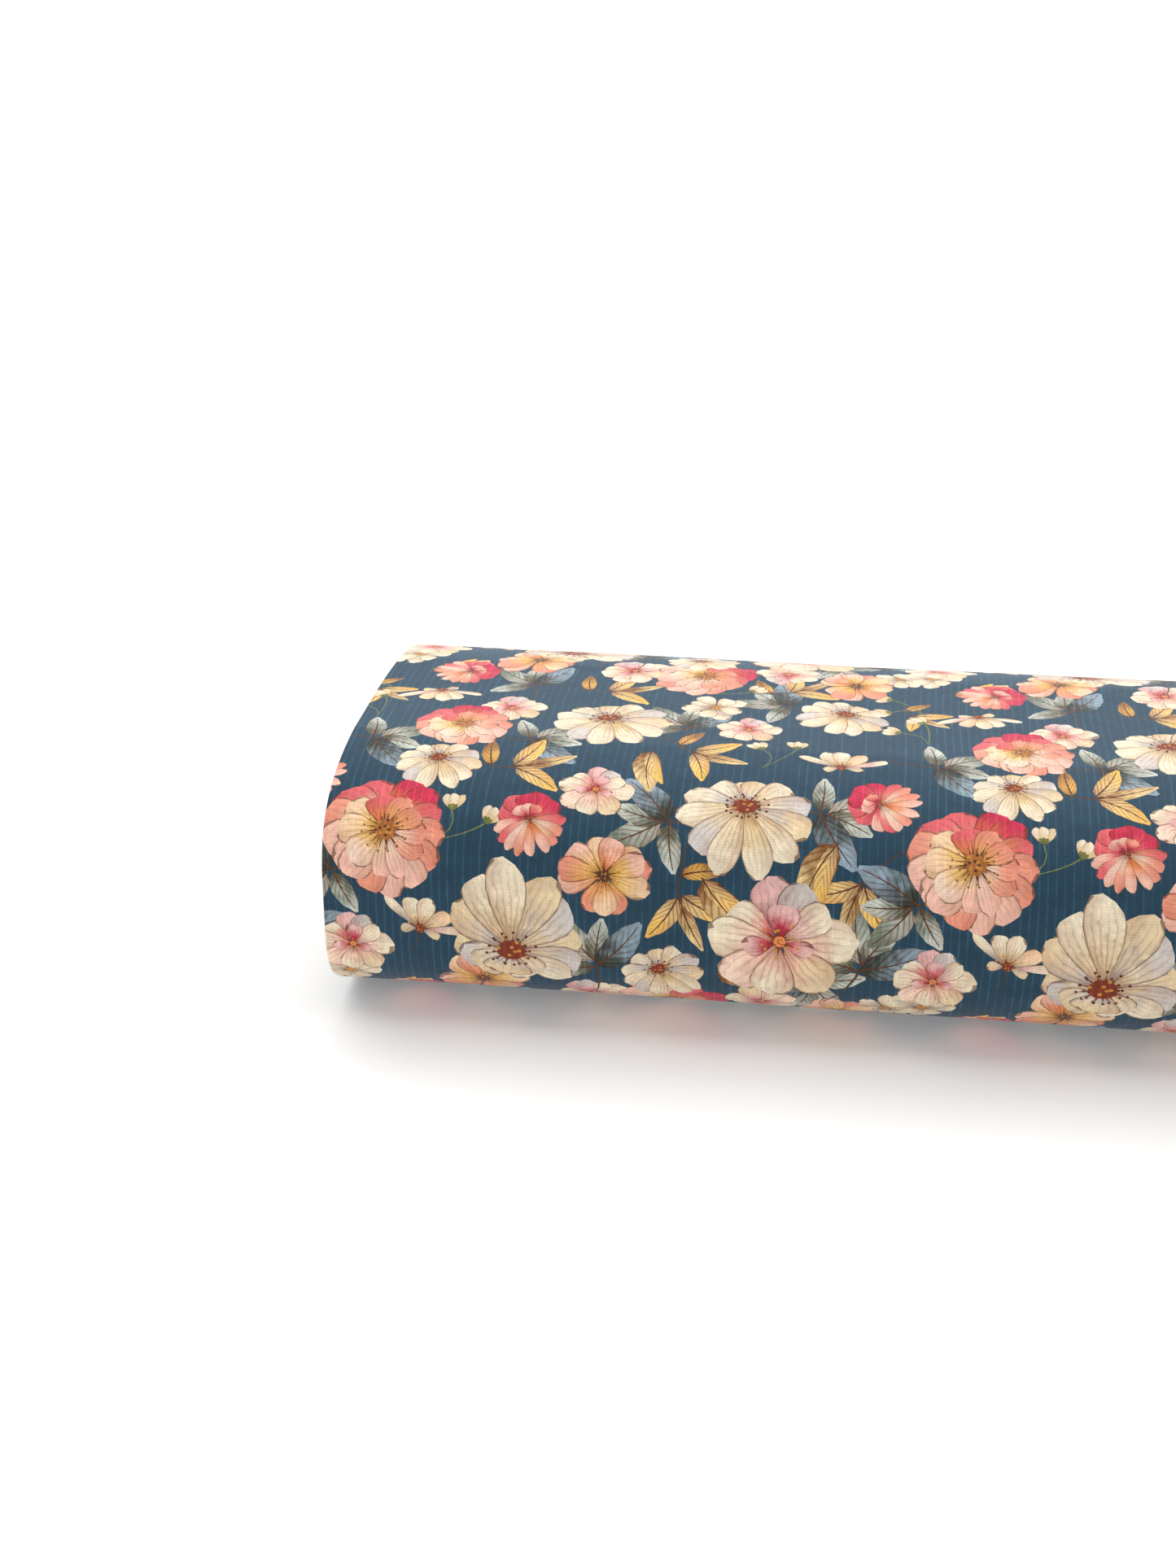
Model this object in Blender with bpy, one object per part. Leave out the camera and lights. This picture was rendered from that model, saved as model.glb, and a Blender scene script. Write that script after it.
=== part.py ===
"""A flat bolt of cloth: a printed rib knit, folded double, wound on a hollow cardboard board.

It lies flat as on a shop table. X runs along the board, -Y is the front, +Z is up, and the origin
is under its middle, on the table. The loose end of the cloth hangs down the back.
"""

import math

import bpy

# The wound cloth.
ROLL_LENGTH = 0.760  # the folded width of the cloth
ROLL_DEPTH = 0.280
ROLL_HEIGHT = 0.136
ROUNDNESS = 3.0  # exponent of the section: 2 is an ellipse, and more is boxier
PRESSED = 0.0015  # how far the top and the bottom are pressed flat
TURN = 0.0022  # one turn: two thicknesses of cloth
GAP = 0.0004  # air between neighbouring pieces

# The loose end, as angles round the section: 0 is the back, a quarter turn is the top.
TAIL_TOP_ANGLE = math.radians(64)
TAIL_HEM_ANGLE = math.radians(-34)
TAIL_STEP = TURN + GAP

# The board inside: a sleeve of folded card, two ribs that keep it open, and a flap at each end.
BOARD_LENGTH = ROLL_LENGTH + 0.012
BOARD_DEPTH = 0.203
BOARD_HEIGHT = 0.019
BOARD_CORNER = 0.003
CARD = 0.0016
RIB_THICKNESS = 0.003
RIB_SETBACK = 0.004

# The paper label on each end flap.
LABEL_WIDTH = 0.110
LABEL_HEIGHT = 0.0145
LABEL_THICKNESS = 0.0003
LABEL_GAP = 0.0001

CENTRE_HEIGHT = ROLL_HEIGHT / 2
STEPS_PER_QUARTER = 22
CORNER_STEPS = 5


def clear_scene():
    for old in list(bpy.data.objects):
        bpy.data.objects.remove(old, do_unlink=True)


def material(name, colour, roughness):
    made = bpy.data.materials.new(name)
    made.use_nodes = True
    shader = made.node_tree.nodes["Principled BSDF"]
    shader.inputs["Base Color"].default_value = (*colour, 1.0)
    shader.inputs["Roughness"].default_value = roughness
    return made


def section_point(angle, inset):
    """(y, z) of the cloth's section at an angle, this far in from its outside."""
    across = math.cos(angle)
    up = math.sin(angle)
    half_depth = ROLL_DEPTH / 2 - inset
    half_height = ROLL_HEIGHT / 2 - inset
    y = half_depth * math.copysign(abs(across) ** (2 / ROUNDNESS), across)
    z = (half_height + PRESSED) * math.copysign(abs(up) ** (2 / ROUNDNESS), up)
    z = max(-half_height, min(half_height, z))
    return y, z + CENTRE_HEIGHT


def section_loop(inset_at):
    """The cloth's section as a closed loop. inset_at gives the inset for an angle."""
    loop = []
    for step in range(4 * STEPS_PER_QUARTER):
        angle = (step + 0.5) * math.pi / 2 / STEPS_PER_QUARTER
        loop.append(section_point(angle, inset_at(angle)))
    return loop


def board_loop(outset, steps):
    """The board's outline as a closed loop, this far outside the board, with rounded corners."""
    radius = max(BOARD_CORNER + outset, 0.0005)
    reach_y = BOARD_DEPTH / 2 + outset - radius
    reach_z = BOARD_HEIGHT / 2 + outset - radius
    loop = []
    for quarter, (side_y, side_z) in enumerate(((1, 1), (-1, 1), (-1, -1), (1, -1))):
        for step in range(steps):
            angle = (quarter + step / (steps - 1)) * math.pi / 2
            y = side_y * reach_y + radius * math.cos(angle)
            z = side_z * reach_z + radius * math.sin(angle)
            loop.append((y, z + CENTRE_HEIGHT))
    return loop


def add_object(name, vertices, faces, slot, origin=(0.0, 0.0, 0.0)):
    """An object at its origin, from vertices given in the bolt's frame."""
    mesh = bpy.data.meshes.new(name)
    local = [tuple(value - shift for value, shift in zip(vertex, origin)) for vertex in vertices]
    mesh.from_pydata(local, [], faces)
    mesh.materials.append(slot)
    made = bpy.data.objects.new(name, mesh)
    made.location = origin
    bpy.context.scene.collection.objects.link(made)
    return made


def shell_faces(i, j, count):
    """The four faces between points i and j of rows with this many points: both ends, outside, inside."""
    near_outer, near_inner, far_outer, far_inner = (k * count for k in range(4))
    return [
        (near_outer + j, near_outer + i, near_inner + i, near_inner + j),
        (far_outer + i, far_outer + j, far_inner + j, far_inner + i),
        (near_outer + i, near_outer + j, far_outer + j, far_outer + i),
        (near_inner + j, near_inner + i, far_inner + i, far_inner + j),
    ]


def tube(name, outer, inner, length, slot):
    """A length of tube along X between two loops with the same number of points."""
    count = len(outer)
    vertices = []
    for x in (-length / 2, length / 2):
        for loop in (outer, inner):
            vertices += [(x, y, z) for y, z in loop]
    faces = []
    for i in range(count):
        faces += shell_faces(i, (i + 1) % count, count)
    return add_object(name, vertices, faces, slot)


def strip(name, outer, inner, length, slot, origin):
    """A curved strip along X between two open rows of points, and closed at both of their ends."""
    count = len(outer)
    vertices = []
    for x in (-length / 2, length / 2):
        for row in (outer, inner):
            vertices += [(x, y, z) for y, z in row]
    faces = []
    for i in range(count - 1):
        faces += shell_faces(i, i + 1, count)
    first = [row * count for row in range(4)]
    last = [row * count + count - 1 for row in range(4)]
    faces.append((first[0], first[2], first[3], first[1]))
    faces.append((last[0], last[1], last[3], last[2]))
    return add_object(name, vertices, faces, slot, origin)


def block(name, low, high, slot, origin=(0.0, 0.0, 0.0)):
    """A box between two corners."""
    x0, y0, z0 = low
    x1, y1, z1 = high
    vertices = [
        (x0, y0, z0), (x1, y0, z0), (x1, y1, z0), (x0, y1, z0),
        (x0, y0, z1), (x1, y0, z1), (x1, y1, z1), (x0, y1, z1),
    ]
    faces = [(0, 3, 2, 1), (4, 5, 6, 7), (0, 1, 5, 4), (1, 2, 6, 5), (2, 3, 7, 6), (3, 0, 4, 7)]
    return add_object(name, vertices, faces, slot, origin)


def build_cloth(cloth):
    """The inner turns, the two outer turns, and the loose end that hangs down the back."""

    def under_the_tail(angle):
        turned = math.remainder(angle, 2 * math.pi)
        return TAIL_STEP if TAIL_HEM_ANGLE - 0.02 < turned < TAIL_TOP_ANGLE + 0.02 else 0.0

    outer_turns_inset = 2 * TURN
    tube(
        "cloth_outer_turns",
        section_loop(under_the_tail),
        section_loop(lambda angle: outer_turns_inset),
        ROLL_LENGTH,
        cloth,
    )
    tube(
        "cloth_inner_turns",
        section_loop(lambda angle: outer_turns_inset + GAP),
        board_loop(GAP, STEPS_PER_QUARTER),
        ROLL_LENGTH,
        cloth,
    )
    hinge_y, hinge_z = section_point(TAIL_TOP_ANGLE, 0.0)
    steps = 24
    outer = []
    inner = []
    for step in range(steps + 1):
        angle = TAIL_HEM_ANGLE + (TAIL_TOP_ANGLE - TAIL_HEM_ANGLE) * step / steps
        outer.append(section_point(angle, 0.0))
        inner.append(section_point(angle, TURN))
    strip("cloth_tail", outer, inner, ROLL_LENGTH, cloth, (0.0, hinge_y, hinge_z))


def build_board(card, paper):
    """The sleeve, its two ribs, and at each end a flap that swings on the sleeve's top edge."""
    tube(
        "board_sleeve",
        board_loop(0.0, CORNER_STEPS),
        board_loop(-CARD, CORNER_STEPS),
        BOARD_LENGTH,
        card,
    )
    inside_depth = BOARD_DEPTH - 2 * CARD
    rib_half_height = BOARD_HEIGHT / 2 - CARD - GAP
    rib_half_length = BOARD_LENGTH / 2 - RIB_SETBACK
    for name, side in (("board_rib_front", -1), ("board_rib_back", 1)):
        y = side * inside_depth / 6
        block(
            name,
            (-rib_half_length, y - RIB_THICKNESS / 2, CENTRE_HEIGHT - rib_half_height),
            (rib_half_length, y + RIB_THICKNESS / 2, CENTRE_HEIGHT + rib_half_height),
            card,
        )
    top = CENTRE_HEIGHT + BOARD_HEIGHT / 2
    for end, side in (("left", -1), ("right", 1)):
        hinge = (side * (BOARD_LENGTH / 2 + GAP / 2), 0.0, top)
        near = BOARD_LENGTH / 2 + GAP
        far = near + CARD
        xs = sorted((side * near, side * far))
        block(
            "end_flap_" + end,
            (xs[0], -BOARD_DEPTH / 2, top - BOARD_HEIGHT),
            (xs[1], BOARD_DEPTH / 2, top),
            card,
            hinge,
        )
        near = far + LABEL_GAP
        far = near + LABEL_THICKNESS
        xs = sorted((side * near, side * far))
        label = block(
            "end_label_" + end,
            (xs[0], -LABEL_WIDTH / 2, CENTRE_HEIGHT - LABEL_HEIGHT / 2),
            (xs[1], LABEL_WIDTH / 2, CENTRE_HEIGHT + LABEL_HEIGHT / 2),
            paper,
            hinge,
        )
        label.location = (0.0, 0.0, 0.0)
        label.parent = bpy.data.objects["end_flap_" + end]


def main():
    clear_scene()
    cloth = material("printed_knit", (0.045, 0.085, 0.13), 0.85)
    card = material("card", (0.52, 0.40, 0.27), 0.8)
    paper = material("label_paper", (0.86, 0.85, 0.81), 0.6)
    build_cloth(cloth)
    build_board(card, paper)


main()
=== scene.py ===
"""The looks of the fabric bolt: a printed rib knit, folded double and wound flat on a card board.

The cloth is made as the real cloth lies: one long sheet that winds round and round the board. Its
print is drawn flat, petal by petal, and then rolled up with the cloth.
"""

import math

import bpy
import numpy as np
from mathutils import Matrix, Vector
from mathutils.geometry import delaunay_2d_cdt


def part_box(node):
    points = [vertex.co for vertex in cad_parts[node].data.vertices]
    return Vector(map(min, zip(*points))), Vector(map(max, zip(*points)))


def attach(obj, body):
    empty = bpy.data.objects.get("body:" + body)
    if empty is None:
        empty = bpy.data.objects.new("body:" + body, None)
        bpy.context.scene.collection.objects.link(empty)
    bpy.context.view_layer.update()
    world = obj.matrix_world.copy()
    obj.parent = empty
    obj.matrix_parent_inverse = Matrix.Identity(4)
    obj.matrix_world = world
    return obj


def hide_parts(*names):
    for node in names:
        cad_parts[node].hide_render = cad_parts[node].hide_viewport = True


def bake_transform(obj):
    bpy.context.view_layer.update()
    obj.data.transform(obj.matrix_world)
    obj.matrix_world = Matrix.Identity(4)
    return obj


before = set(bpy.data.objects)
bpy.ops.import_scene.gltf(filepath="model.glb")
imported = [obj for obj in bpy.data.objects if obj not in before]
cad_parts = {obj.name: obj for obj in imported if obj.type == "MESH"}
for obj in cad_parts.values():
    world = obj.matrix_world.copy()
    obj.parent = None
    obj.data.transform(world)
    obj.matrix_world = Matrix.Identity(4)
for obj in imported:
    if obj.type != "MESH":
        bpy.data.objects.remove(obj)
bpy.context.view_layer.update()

MM = 0.001

# The roll, from the frame.
OUTER_LOW, OUTER_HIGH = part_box("cloth_outer_turns")
BOARD_LOW, BOARD_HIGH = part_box("board_sleeve")

LENGTH = OUTER_HIGH.x - OUTER_LOW.x
HALF_LENGTH = LENGTH / 2
HALF_DEPTH = -OUTER_LOW.y
HALF_HEIGHT = (OUTER_HIGH.z - OUTER_LOW.z) / 2
ROUNDNESS = 3.0  # the section's exponent, as in the CAD
PRESSED = 1.5 * MM
TAIL_TOP_ANGLE = math.radians(64)
TAIL_HEM_ANGLE = math.radians(-34)
TOP_ANGLE = math.radians(118)  # where the first turn's top piece meets its front piece
SPLIT_ANGLE = math.radians(262)  # where the first turn becomes the second
BACK_ANGLE = math.radians(330)  # where the second turn's bottom piece meets its back piece
TURNS_STEP_IN_AFTER = 0.80  # of a turn
EVEN_AFTER_TURNS = 4  # deeper than this the turns wind in evenly

# The cloth.
LAYER = 0.9 * MM  # one thickness of knit
PAIR = 2.4 * MM  # one turn: two thicknesses and the air between
FOLD_RADIUS = 1.0 * MM
RIB_PITCH = 4.2 * MM
SELVEDGE = 7.0 * MM
SETBACK = 1.5 * MM  # the wound turns end this far short of the outermost one
ROWS_PER_TURN = 100
BOARD_HALF_DEPTH = BOARD_HIGH.y + 2.5 * MM
BOARD_HALF_HEIGHT = (BOARD_HIGH.z - BOARD_LOW.z) / 2 + 2.1 * MM
BOARD_ROUNDNESS = 8.0
CLOTH_DEPTH = HALF_HEIGHT - BOARD_HALF_HEIGHT
MOST_RISE = 0.03  # of CLOTH_DEPTH, that the cloth may stand proud of the roll

# The print's repeat.
REPEAT_X = 300.0
REPEAT_Y = 286.0
TILE = 85.0  # the print is cut into tiles of about this size while it is worked out
GRID_X = 14.0  # spacing of the lines along which the flat print bends
GRID_Y = 6.0
WELD = 0.002  # points of the print closer than this are one


# ---------------------------------------------------------------- the wound sheet


def section(angle, inset):
    """y and z of the roll's section. The angle is 0 at the back and a quarter turn at the top."""
    share = np.clip(inset / CLOTH_DEPTH, -MOST_RISE, 1.0)
    depth = HALF_DEPTH + (BOARD_HALF_DEPTH - HALF_DEPTH) * share
    height = HALF_HEIGHT + (BOARD_HALF_HEIGHT - HALF_HEIGHT) * share
    power = 2 / (ROUNDNESS + (BOARD_ROUNDNESS - ROUNDNESS) * share**2)
    across = np.cos(angle)
    up = np.sin(angle)
    y = depth * np.sign(across) * np.abs(across) ** power
    z = (height + PRESSED) * np.sign(up) * np.abs(up) ** power
    height = np.minimum(height, HALF_HEIGHT)
    return y, np.clip(z, -height, height) + HALF_HEIGHT


def wound_inset(turns):
    """How deep the cloth lies, this many turns in from its hem. The outer turns step in low on the back."""
    whole = np.floor(turns)
    part = turns - whole
    step = np.clip((part - TURNS_STEP_IN_AFTER) / (1 - TURNS_STEP_IN_AFTER), 0.0, 1.0)
    step = step * step * (3 - 2 * step)
    evenly = np.clip(whole / EVEN_AFTER_TURNS, 0.0, 1.0)
    return PAIR * (whole + step * (1 - evenly) + part * evenly)


def wound_angle(turns):
    return TAIL_HEM_ANGLE + 2 * math.pi * turns


def arc_table(most_turns):
    """Distance along the cloth from its hem, against turns."""
    turns = np.linspace(0.0, most_turns, 4000)
    y, z = section(wound_angle(turns), wound_inset(turns))
    steps = np.hypot(np.diff(y), np.diff(z))
    return turns, np.concatenate([[0.0], np.cumsum(steps)])


ARC_TURNS, ARC_METRES = arc_table(1.6)


def metres_at(turns):
    return float(np.interp(turns, ARC_TURNS, ARC_METRES))


def first_turns(angle):
    """Turns from the hem to an angle of the first turn."""
    return (angle - TAIL_HEM_ANGLE) / (2 * math.pi)


def flat_y(metres):
    """A place on the flat print, in mm, from the distance along the cloth. The middle of the front is 0."""
    return (FRONT_METRES - metres) / MM


FRONT_METRES = metres_at(first_turns(math.pi))
HEM_Y = flat_y(0.0)
SEAM_Y = flat_y(metres_at(first_turns(TAIL_TOP_ANGLE))) - 22.0  # past the hinge, where the tail's piece ends
TOP_Y = flat_y(metres_at(first_turns(TOP_ANGLE)))
SPLIT_Y = flat_y(metres_at(first_turns(SPLIT_ANGLE)))
BACK_Y = flat_y(metres_at(first_turns(BACK_ANGLE)))
UNDER_Y = flat_y(metres_at(1.0 + first_turns(TAIL_TOP_ANGLE) + 0.02))  # the second turn ends under the tail
UNDER_STRIP = 14.0  # how far the folded-under layer is made, in mm, where only its edge shows
LENGTH_MM = LENGTH / MM
FOLD_MM = math.pi * FOLD_RADIUS / MM
EDGE_MM = math.pi * LAYER / 2 / MM


def curl(beyond, radius):
    """Past an edge the cloth turns round this radius and runs back.

    Returns the distance past the edge, the depth, and the angle turned through."""
    half_turn = math.pi * radius
    angle = np.clip(beyond / radius, 0.0, math.pi)
    past = radius * np.sin(angle) - np.maximum(beyond - half_turn, 0.0)
    return past, radius * (1 - np.cos(angle)), angle


def turns_at(metres):
    """Turns in from the hem, from the distance along the cloth, which may be a little past the hem."""
    past_hem = metres / ARC_METRES[1] * ARC_TURNS[1]
    return np.where(metres < 0.0, past_hem, np.interp(metres, ARC_METRES, ARC_TURNS))


def cloth_point(x_mm, y_mm, lift):
    """Where a point of the flat print lies on the bolt. lift moves it out from the roll."""
    x = x_mm * MM
    metres = FRONT_METRES - y_mm * MM
    past_left, depth_left, fold_turn = curl(np.maximum(-x, 0.0), FOLD_RADIUS)
    past_right, depth_right, _ = curl(np.maximum(x - LENGTH, 0.0), LAYER / 2)
    past_under, depth_under, _ = curl(np.maximum(-x - LENGTH - FOLD_MM * MM, 0.0), LAYER / 2)
    past_hem, depth_hem, _ = curl(np.maximum(-metres, 0.0), LAYER / 2)
    along = np.clip(x, 0.0, LENGTH) - past_left + past_right
    along = np.where(past_under != 0.0, LENGTH + past_under, along)
    hem_wave = 1.6 * MM * np.sin(along * 17.0 + 0.6) + 0.9 * MM * np.sin(along * 41.0)
    near_hem = np.exp(-np.maximum(metres, 0.0) / 0.02)
    travelled = np.maximum(metres, 0.0) - past_hem + hem_wave * near_hem
    turns = turns_at(travelled)
    depth = wound_inset(np.maximum(turns, 0.0)) + depth_left + depth_right - depth_under
    depth = depth + depth_hem * np.cos(fold_turn)
    y, z = section(wound_angle(turns), depth - lift)
    uneven = 0.7 * MM * np.sin(travelled * 19.0) + 0.4 * MM * np.sin(travelled * 47.0 + 1.0)
    return np.stack([along - HALF_LENGTH + uneven, y, z], axis=-1)


def outward(x_mm, y_mm, lift_of, step=0.15):
    """The cloth's own normals, from small steps across the flat print."""

    def at(x, y):
        return cloth_point(x, y, lift_of(x, y))

    by_x = at(x_mm + step, y_mm) - at(x_mm - step, y_mm)
    by_y = at(x_mm, y_mm + step) - at(x_mm, y_mm - step)
    normal = np.cross(by_x, by_y)
    return normal / np.maximum(np.linalg.norm(normal, axis=1, keepdims=True), 1e-12)


def softness(x_mm, y_mm):
    """Slow rises and dips of the cloth, in metres, outwards. Turns that lie on each other share them."""
    x = np.abs(x_mm) / 100.0
    metres = FRONT_METRES - y_mm * MM
    angle = wound_angle(turns_at(metres))
    waves = np.sin(1.1 * x + 2 * angle) + 0.7 * np.sin(2.3 * x - 3 * angle + 1.0)
    waves += 0.5 * np.sin(0.6 * x + 7 * angle + 2.0) + 0.35 * np.sin(5.3 * x + 2 * angle)
    loose = 1.3 * np.exp(-np.maximum(metres, 0.0) / 0.014) * (0.6 + 0.4 * np.sin(2.9 * x + 0.4))
    return (0.26 * waves + loose) * MM


# ---------------------------------------------------------------- the print, drawn flat


def ink(red, green, blue):
    """A colour given as screen values from 0 to 255, made linear."""
    share = np.array([red, green, blue]) / 255
    return tuple(np.where(share < 0.04045, share / 12.92, ((share + 0.055) / 1.055) ** 2.4))


GROUND = ink(36, 66, 84)
IVORY = ink(246, 230, 200)
CREAM = ink(238, 213, 172)
SHADE = ink(206, 190, 172)
PEACH = ink(253, 214, 174)
APRICOT = ink(250, 176, 104)
YELLOW = ink(250, 200, 104)
ORANGE = ink(244, 146, 84)
CORAL = ink(242, 156, 130)
SALMON = ink(250, 196, 174)
ROSE = ink(228, 104, 108)
CRIMSON = ink(206, 50, 80)
FLESH = ink(255, 222, 198)
BLUSH = ink(240, 190, 184)
MIST = ink(216, 206, 198)
MAUVE = ink(204, 160, 156)
RUST = ink(128, 52, 30)
BROWN = ink(92, 52, 32)
GOLD = ink(204, 142, 60)
STRAW = ink(236, 206, 148)
OCHRE = ink(158, 112, 62)
AMBER = ink(170, 104, 50)
BLUE_LEAF = ink(150, 172, 186)
GREY_LEAF = ink(116, 124, 106)
DARK_LEAF = ink(70, 80, 74)
PALE_LEAF = ink(204, 210, 198)
GREEN = ink(116, 124, 66)
STEM = ink(76, 60, 50)
UNPRINTED = ink(222, 222, 218)
REVERSE = ink(150, 164, 176)
SHADED = ink(150, 120, 92)
CARD_DARK = ink(158, 122, 84)
CARD_LIGHT = ink(190, 154, 112)
PAPER_DARK = ink(226, 224, 214)
PAPER_LIGHT = ink(242, 240, 232)

PETAL_POINTS = 16
LEAF_POINTS = 18


def fullest(swell, point):
    """What the width profile below has to be divided by, so that its widest place is 1."""
    at = (point / 2 + swell) / (point + swell)
    return (2 * math.sqrt(at * (1 - at))) ** point * at**swell


def shape(outline, colours, style, seed, size=(1.0, 1.0), form=(0.0, 1.0, 0.0)):
    """One patch of ink: its outline, its two colours, and the petal-like frame its shading runs in."""
    return {
        "outline": np.array(outline, float),
        "to_local": np.eye(2),
        "origin": np.zeros(2),
        "size": size,
        "form": form,
        "colours": colours,
        "style": style,
        "seed": seed,
    }


def moved(patch, matrix, shift):
    """The patch after a linear map and a shift."""
    matrix = np.array(matrix, float)
    shift = np.array(shift, float)
    made = dict(patch)
    made["outline"] = patch["outline"] @ matrix.T + shift
    made["to_local"] = patch["to_local"] @ np.linalg.inv(matrix)
    made["origin"] = matrix @ patch["origin"] + shift
    return made


def turn_matrix(degrees, size=1.0):
    angle = math.radians(degrees)
    return [
        [size * math.cos(angle), -size * math.sin(angle)],
        [size * math.sin(angle), size * math.cos(angle)],
    ]


def petal(angle, length, width, base, tip, seed, start=0.06, swell=0.5, bend=0.0, point=1.0,
          style=(0.6, 0.0, 0.5), ruffle=0.045, points=PETAL_POINTS):
    """A petal or a leaf that grows from the middle at this angle."""
    around = np.arange(points) / points * 2 * math.pi
    share = (1 - np.cos(around)) / 2
    side = np.sign(np.sin(around)) * np.abs(np.sin(around)) ** point * np.maximum(share, 1e-6) ** swell
    side = side / fullest(swell, point)
    ripple = 1 + ruffle * np.cos(3 * around + seed * 5) * share**2
    x = length * share * ripple
    y = side * width / 2 + bend * length * share**2
    made = shape(np.stack([x, y], 1), (base, tip), style, seed, (length, width),
                 (swell, point, bend))
    made = moved(made, np.eye(2), (start, 0.0))
    return moved(made, turn_matrix(angle), (0.0, 0.0))


def leaf(angle, length, width, base, tip, seed, bend=0.12, start=0.1):
    """A pointed leaf with a slightly toothed edge."""
    made = petal(angle, length, width, base, tip, seed, start, -0.2, bend, 1.6,
                 (1.0, 1.0, 0.5), 0.0, LEAF_POINTS)
    middle = made["outline"].mean(axis=0)
    out = made["outline"] - middle
    out[1::2] *= 0.93
    made["outline"] = middle + out
    return made


def dot(x, y, across, colour, rim, seed, points=6):
    around = np.arange(points) / points * 2 * math.pi + seed
    outline = np.stack([x + np.cos(around) * across / 2, y + np.sin(around) * across / 2], 1)
    return shape(outline, (colour, rim), (0.0, 0.0, 0.5), seed)


def stroke(start, middle, end, width, colour, seed=0.3, steps=5):
    """A curved line of ink that thins towards its end."""
    points = [np.array(p, float) for p in (start, middle, end)]
    share = np.linspace(0.0, 1.0, steps)[:, None]
    line = (1 - share) ** 2 * points[0] + 2 * share * (1 - share) * points[1] + share**2 * points[2]
    along = np.gradient(line, axis=0)
    across = np.stack([-along[:, 1], along[:, 0]], 1)
    across /= np.maximum(np.linalg.norm(across, axis=1, keepdims=True), 1e-9)
    half = width / 2 * (1 - 0.55 * share)
    outline = np.concatenate([line + across * half, (line - across * half)[::-1]])
    return shape(outline, (colour, colour), (0.0, 0.0, 0.3), seed)


def stamens(count, near, far, colours, seed, spread=360.0, towards=0.0, squash=1.0):
    """Filaments with an anther at the end of each, and the disc they grow from."""
    line, tip, disc = colours
    made = []
    for i in range(count):
        share = (i + 0.5) / count
        angle = math.radians(towards + (share - 0.5) * spread + 7 * math.sin(i * 2.4 + seed))
        reach = far * (0.74 + 0.26 * math.sin(i * 4.1 + seed * 3))
        x, y = math.cos(angle), math.sin(angle) * squash
        side = np.array([-y, x]) * 0.022
        foot = np.array([x, y]) * near * 0.6
        head = np.array([x, y]) * reach
        made.append(shape([foot - side, head, foot + side], (line, line), (0, 0, 0.3), seed))
        made.append(dot(head[0], head[1], 0.062, tip, line, seed + i, 4))
    heart = [dot(0.0, 0.0, near * 2, disc, line, seed, 11)]
    for i in range(12):
        reach = near * (0.90, 0.55, 0.30)[i % 3]
        x, y = reach * math.cos(i * 2.4 + seed), reach * math.sin(i * 2.4 + seed)
        heart.append(dot(x, y, near * 0.34, (GOLD, line)[i % 2], line, seed + i, 5))
    return made + [moved(patch, [[1, 0], [0, squash]], (0, 0)) for patch in heart]


def flower(rows, seed):
    """Petals from rows of (angle, length, width, colour at the base, colour at the tip)."""
    made = []
    for i, (angle, length, width, base, tip) in enumerate(rows):
        bend = 0.05 * math.sin(i * 2.1 + seed)
        made.append(petal(angle, length, width, base, tip, seed + 0.37 * i, 0.06, 0.66, bend, 0.92))
    return made


def peony(seed):
    rows = [
        (112, 1.02, 0.86, CORAL, ROSE), (140, 1.10, 0.86, SALMON, ROSE), (72, 1.14, 0.60, ORANGE, CRIMSON),
        (48, 1.12, 0.64, ORANGE, CRIMSON), (22, 0.98, 0.62, APRICOT, ROSE), (168, 1.16, 0.78, FLESH, CORAL),
        (194, 1.14, 0.76, FLESH, SALMON), (-4, 1.00, 0.66, PEACH, CORAL), (-32, 1.08, 0.66, FLESH, CORAL),
        (-58, 1.16, 0.62, FLESH, SALMON), (218, 1.04, 0.72, PEACH, SALMON), (-82, 1.20, 0.58, FLESH, SALMON),
        (-106, 1.18, 0.58, FLESH, CORAL), (-130, 1.08, 0.66, PEACH, SALMON), (150, 0.80, 0.66, YELLOW, PEACH),
        (180, 0.84, 0.62, YELLOW, PEACH), (104, 0.66, 0.62, ORANGE, ROSE), (66, 0.66, 0.50, APRICOT, CORAL),
        (222, 0.80, 0.62, YELLOW, FLESH), (-94, 0.84, 0.40, PEACH, SALMON), (-66, 0.86, 0.42, FLESH, SALMON),
        (-36, 0.76, 0.42, PEACH, CORAL), (-6, 0.70, 0.46, FLESH, CORAL), (30, 0.64, 0.46, APRICOT, CORAL),
    ]
    return flower(rows, seed) + stamens(34, 0.20, 0.44, (BROWN, OCHRE, AMBER), seed)


def anemone(seed):
    rows = [
        (170, 0.84, 0.56, SHADE, CREAM), (18, 1.06, 0.62, MIST, CREAM), (142, 1.06, 0.66, MIST, CREAM),
        (42, 1.18, 0.72, CREAM, MIST), (116, 1.30, 0.62, CREAM, IVORY), (66, 1.32, 0.66, SHADE, CREAM),
        (92, 1.44, 0.64, CREAM, IVORY), (-8, 1.06, 0.50, CREAM, MIST), (194, 0.74, 0.52, CREAM, MIST),
        (-30, 0.94, 0.50, MIST, IVORY), (218, 0.60, 0.66, MIST, CREAM), (-56, 0.56, 0.66, CREAM, IVORY),
        (258, 0.44, 0.80, MIST, CREAM),
    ]
    made = flower(rows, seed) + stamens(34, 0.22, 0.40, (RUST, BROWN, RUST), seed, squash=0.8)
    return [moved(patch, np.eye(2), (0.0, -0.28)) for patch in made]


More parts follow.
